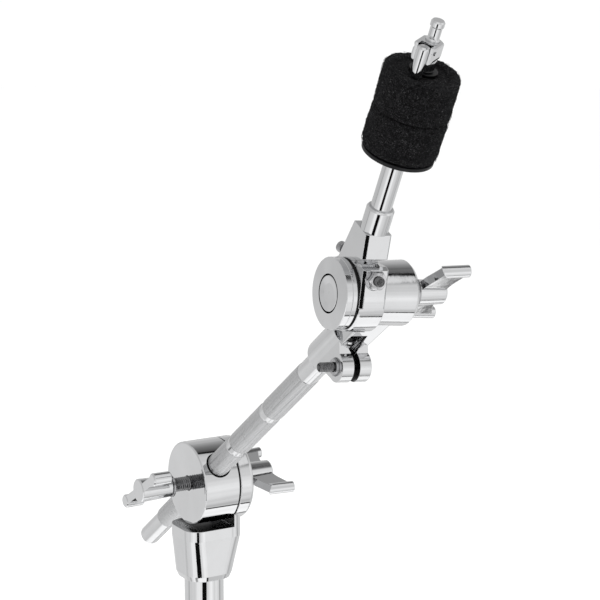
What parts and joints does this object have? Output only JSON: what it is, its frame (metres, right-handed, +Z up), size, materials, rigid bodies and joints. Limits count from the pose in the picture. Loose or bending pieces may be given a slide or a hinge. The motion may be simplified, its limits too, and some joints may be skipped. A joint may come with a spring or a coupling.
{
  "type": "cymbal boom stand head",
  "caption": "Chromed boom head of a cymbal stand: post, tilting clamp joint, knurled boom rod, friction tilter and felted cymbal seat with quick-release nut.",
  "frame": {"origin": "centre of the post tube's lower end", "axes": "+Z up the post; X along the boom joint's tilt axis; -Y is the side the boom reaches out to"},
  "size_m": [0.0892, 0.3045, 0.4998],
  "materials": {
    "chrome": "polished chrome plate",
    "zinc_steel": "plated steel, slightly dull",
    "black_steel": "black oxide steel, satin",
    "friction_fibre": "matt dark fibre",
    "black_nylon": "satin black nylon",
    "felt": "dense black wool felt"
  },
  "bodies": {
    "post": {"post_tube": "chrome", "base_casting": "chrome", "post_set_screw": "black_steel", "tilt_bush": "black_nylon"},
    "drum": {"clamp_drum": "chrome", "tilt_brake_disc": "friction_fibre", "rod_eye_bolt": "zinc_steel", "tilt_spring_washer": "zinc_steel"},
    "tilt_washer": {"tilt_washer": "zinc_steel"},
    "tilt_wing_nut": {"tilt_wing_nut": "chrome"},
    "rod_lock_washer": {"rod_lock_washer": "zinc_steel"},
    "rod_wing_nut": {"rod_wing_nut": "chrome"},
    "boom_rod": {"boom_rod": "chrome"},
    "tilter": {"tilter_body": "chrome", "clamp_bolt": "zinc_steel", "clamp_nut": "zinc_steel", "brake_cap": "chrome", "cap_friction_ring": "friction_fibre", "housing_friction_ring": "friction_fibre", "tilter_bolt": "chrome", "housing_set_screw": "black_steel", "tilter_spring_washer": "zinc_steel"},
    "tilter_washer": {"tilter_washer": "zinc_steel"},
    "tilter_wing_nut": {"tilter_wing_nut": "chrome"},
    "head": {"tilter_head": "chrome", "head_bolt": "zinc_steel", "head_nut": "zinc_steel", "rod_lock_screw": "zinc_steel", "rod_collar": "chrome", "cymbal_rod": "chrome", "seat_washer": "black_nylon", "seat_sleeve": "black_nylon", "lower_felt": "felt"},
    "upper_felt": {"upper_felt": "felt"},
    "release_nut": {"release_nut": "chrome", "lever_pin": "zinc_steel"},
    "release_lever": {"release_lever": "chrome"}
  },
  "joints": [
    {"name": "boom_tilt", "type": "hinge", "parent": "post", "child": "drum", "pos_m": [0, 0, 0.23], "axis": [1, 0, 0], "range_deg": [-8, 75]},
    {"name": "tilt_lock_travel", "type": "slide", "parent": "drum", "child": "tilt_washer", "axis": [1, 0, 0], "range_m": [0, 0.003]},
    {"name": "tilt_lock_turn", "type": "hinge", "parent": "tilt_washer", "child": "tilt_wing_nut", "pos_m": [0, 0, 0.23], "axis": [1, 0, 0], "range_deg": [0, 863]},
    {"name": "rod_lock_travel", "type": "slide", "parent": "drum", "child": "rod_lock_washer", "axis": [1, 0, 0], "range_m": [0, 0.0093]},
    {"name": "rod_lock_turn", "type": "hinge", "parent": "rod_lock_washer", "child": "rod_wing_nut", "pos_m": [0, 0, 0.23], "axis": [1, 0, 0], "range_deg": [0, 2677.4]},
    {"name": "boom_slide", "type": "slide", "parent": "drum", "child": "boom_rod", "axis": [0, -0.8059, 0.592], "range_m": [-0.12, 0.05]},
    {"name": "tilter_swivel", "type": "hinge", "parent": "boom_rod", "child": "tilter", "pos_m": [0, -0.14869, 0.33923], "axis": [0, -0.8059, 0.592], "continuous": true},
    {"name": "tilter_lock_travel", "type": "slide", "parent": "tilter", "child": "tilter_washer", "axis": [0.9955, -0.0561, -0.0764], "range_m": [0, 0.003]},
    {"name": "tilter_lock_turn", "type": "hinge", "parent": "tilter_washer", "child": "tilter_wing_nut", "pos_m": [0.00089, -0.16826, 0.36512], "axis": [0.9955, -0.0561, -0.0764], "range_deg": [0, 863]},
    {"name": "cymbal_tilt", "type": "hinge", "parent": "tilter", "child": "head", "pos_m": [0.00089, -0.16826, 0.36512], "axis": [0.9955, -0.0561, -0.0764], "range_deg": [-70, 100]},
    {"name": "felt_lift", "type": "slide", "parent": "head", "child": "upper_felt", "axis": [0.0474, -0.4033, 0.9138], "range_m": [0, 0.03]},
    {"name": "nut_turn", "type": "hinge", "parent": "upper_felt", "child": "release_nut", "pos_m": [0.00034, -0.21662, 0.476], "axis": [0.0474, -0.4033, 0.9138], "continuous": true},
    {"name": "lever_open", "type": "hinge", "parent": "release_nut", "child": "release_lever", "pos_m": [-0.00535, -0.22562, 0.48578], "axis": [-0.5627, 0.7451, 0.358], "range_deg": [0, 95]}
  ],
  "couplings": [
    {"joint": "tilt_lock_travel", "follows": "tilt_lock_turn", "m_per_rad": 0.00019894},
    {"joint": "rod_lock_travel", "follows": "rod_lock_turn", "m_per_rad": 0.00019894},
    {"joint": "tilter_lock_travel", "follows": "tilter_lock_turn", "m_per_rad": 0.00019894}
  ]
}
